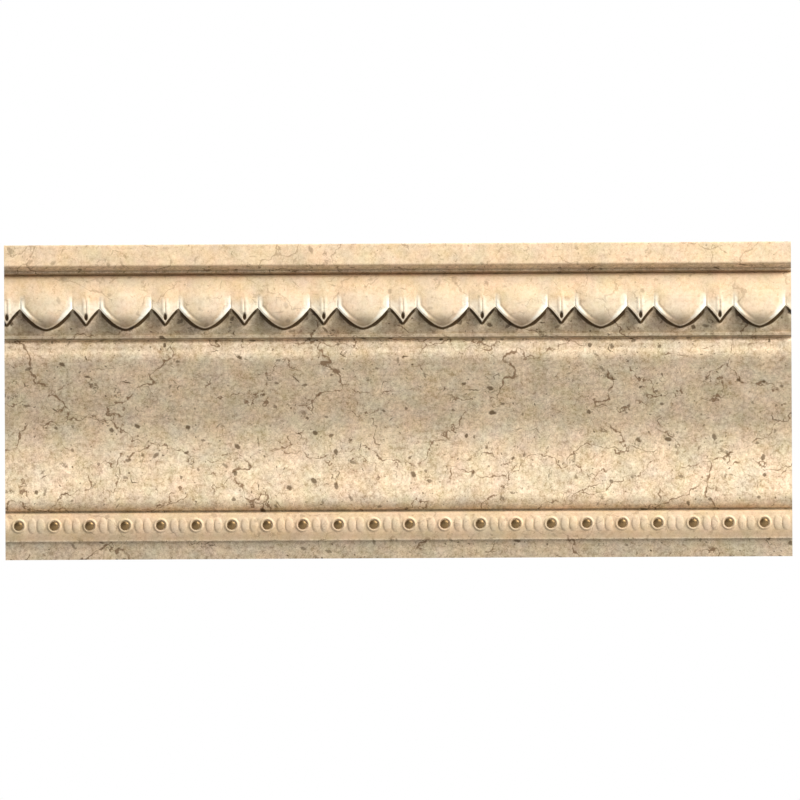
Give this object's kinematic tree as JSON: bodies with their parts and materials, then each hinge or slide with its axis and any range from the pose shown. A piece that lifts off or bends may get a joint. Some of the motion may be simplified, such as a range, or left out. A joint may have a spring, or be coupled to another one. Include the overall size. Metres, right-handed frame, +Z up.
{
  "type": "cornice moulding length",
  "caption": "Straight length of marble-effect cornice moulding: ceiling fillet, egg-and-dart ovolo, deep cove, bead-and-reel astragal and plain foot. Flat back and top, ends cut square.",
  "frame": {"origin": "middle of the flat back, which lies on the wall", "axes": "+X along the moulding, to the right as seen from the room; +Y into the wall, so the face looks towards -Y; +Z up, towards the ceiling"},
  "size_m": [0.25, 0.042, 0.1],
  "materials": {
    "marble_finish": "matte"
  },
  "bodies": {
    "root": {"cornice_moulding": "marble_finish"}
  },
  "joints": []
}
